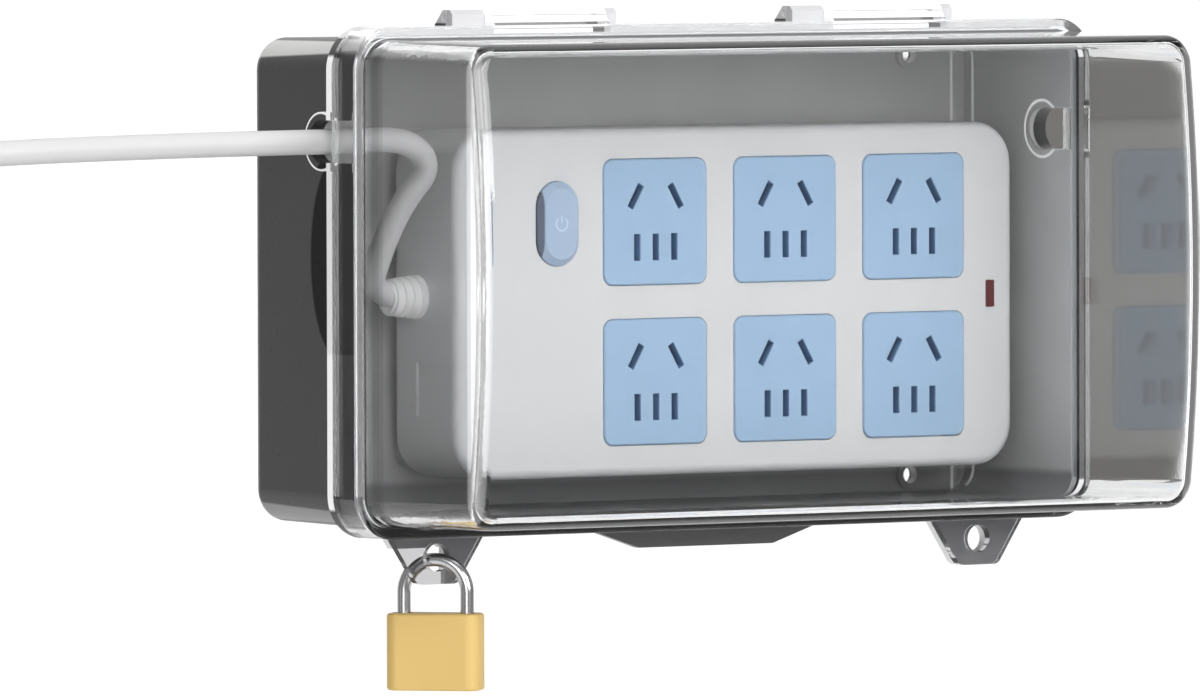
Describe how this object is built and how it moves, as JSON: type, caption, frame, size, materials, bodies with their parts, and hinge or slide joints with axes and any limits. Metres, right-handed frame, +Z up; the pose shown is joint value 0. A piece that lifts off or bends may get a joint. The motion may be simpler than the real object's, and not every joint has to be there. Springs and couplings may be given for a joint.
{
  "type": "weatherproof outlet box",
  "caption": "Wall box with a smoke tray and a clear hinged cover over a switched outlet strip, with side cable ports, a padlocked lug and a coiled mains lead.",
  "frame": {"origin": "middle of the wall screw pattern, on the wall plane that the tray's back face rests on", "axes": "+X to the right seen from the front, +Y into the wall, +Z up"},
  "size_m": [0.4583, 0.114, 0.1976],
  "materials": {
    "smoke_plastic": "glossy smoke grey",
    "clear_plastic": "polished clear",
    "seal_rubber": "matt",
    "steel_pin": "drawn",
    "white_plastic": "fine satin",
    "steel_screw": "zinc plated",
    "contact_brass": "bright",
    "blue_plastic": "glossy",
    "switch_plastic": "matt",
    "red_lens": "glossy tinted",
    "lamp_glass": "clear",
    "cord_rubber": "smooth white",
    "wire_brown": "smooth",
    "wire_blue": "smooth",
    "wire_green": "smooth",
    "tie_plastic": "soft",
    "plug_plastic": "fine satin",
    "light_blue_plastic": "fine satin",
    "shackle_steel": "polished",
    "lock_brass": "brushed",
    "cylinder_brass": "machined"
  },
  "bodies": {
    "tray": {"rear_tray": "smoke_plastic", "hinge_pin_left": "steel_pin", "hinge_pin_right": "steel_pin", "strip_rear_shell": "white_plastic", "strip_front_shell": "white_plastic", "strip_case_screws": "steel_screw", "strip_mount_screws": "steel_screw", "live_bar": "contact_brass", "neutral_bar": "contact_brass", "earth_bar": "contact_brass", "switch_body": "switch_plastic", "switch_spring": "steel_screw", "indicator_lens": "red_lens", "indicator_lamp": "lamp_glass", "cord_boot": "cord_rubber", "cord_clamp": "white_plastic", "clamp_screws": "steel_screw", "cord_inner_end": "cord_rubber", "wire_live": "wire_brown", "wire_switched": "wire_brown", "wire_neutral": "wire_blue", "wire_earth": "wire_green", "cord_lead": "cord_rubber", "cord_coil": "cord_rubber", "cord_tail": "cord_rubber", "coil_tie": "tie_plastic", "plug_body": "plug_plastic", "plug_boot": "cord_rubber", "plug_pins": "contact_brass", "outlet_module_1": "light_blue_plastic", "outlet_module_2": "light_blue_plastic", "outlet_module_3": "light_blue_plastic", "outlet_module_4": "light_blue_plastic", "outlet_module_5": "light_blue_plastic", "outlet_module_6": "light_blue_plastic"},
    "cover": {"front_cover": "clear_plastic", "seal_gasket": "seal_rubber"},
    "button": {"switch_button": "blue_plastic"},
    "shackle": {"padlock_shackle": "shackle_steel"},
    "lock_body": {"padlock_body": "lock_brass", "padlock_latch": "lock_brass"},
    "key_plug": {"padlock_cylinder": "cylinder_brass"}
  },
  "joints": [
    {"name": "cover_hinge", "type": "hinge", "parent": "tray", "child": "cover", "pos_m": [0, -0.0405, 0.0728], "axis": [-1, 0, 0], "range_deg": [0, 110]},
    {"name": "button_press", "type": "slide", "parent": "tray", "child": "button", "axis": [0, 1, 0], "range_m": [0, 0.0022], "stiffness_N_per_m": 500, "springref_m": -0.002},
    {"name": "padlock_swing", "type": "hinge", "parent": "cover", "child": "shackle", "pos_m": [-0.093, -0.046, -0.0766], "axis": [0, 1, 0], "range_deg": [-15, 15]},
    {"name": "padlock_drop", "type": "slide", "parent": "shackle", "child": "lock_body", "axis": [0, 0, -1], "range_m": [0, 0.008]},
    {"name": "key_turn", "type": "hinge", "parent": "lock_body", "child": "key_plug", "pos_m": [-0.093, -0.046, -0.1075], "axis": [0, 0, 1], "range_deg": [0, 90]}
  ]
}
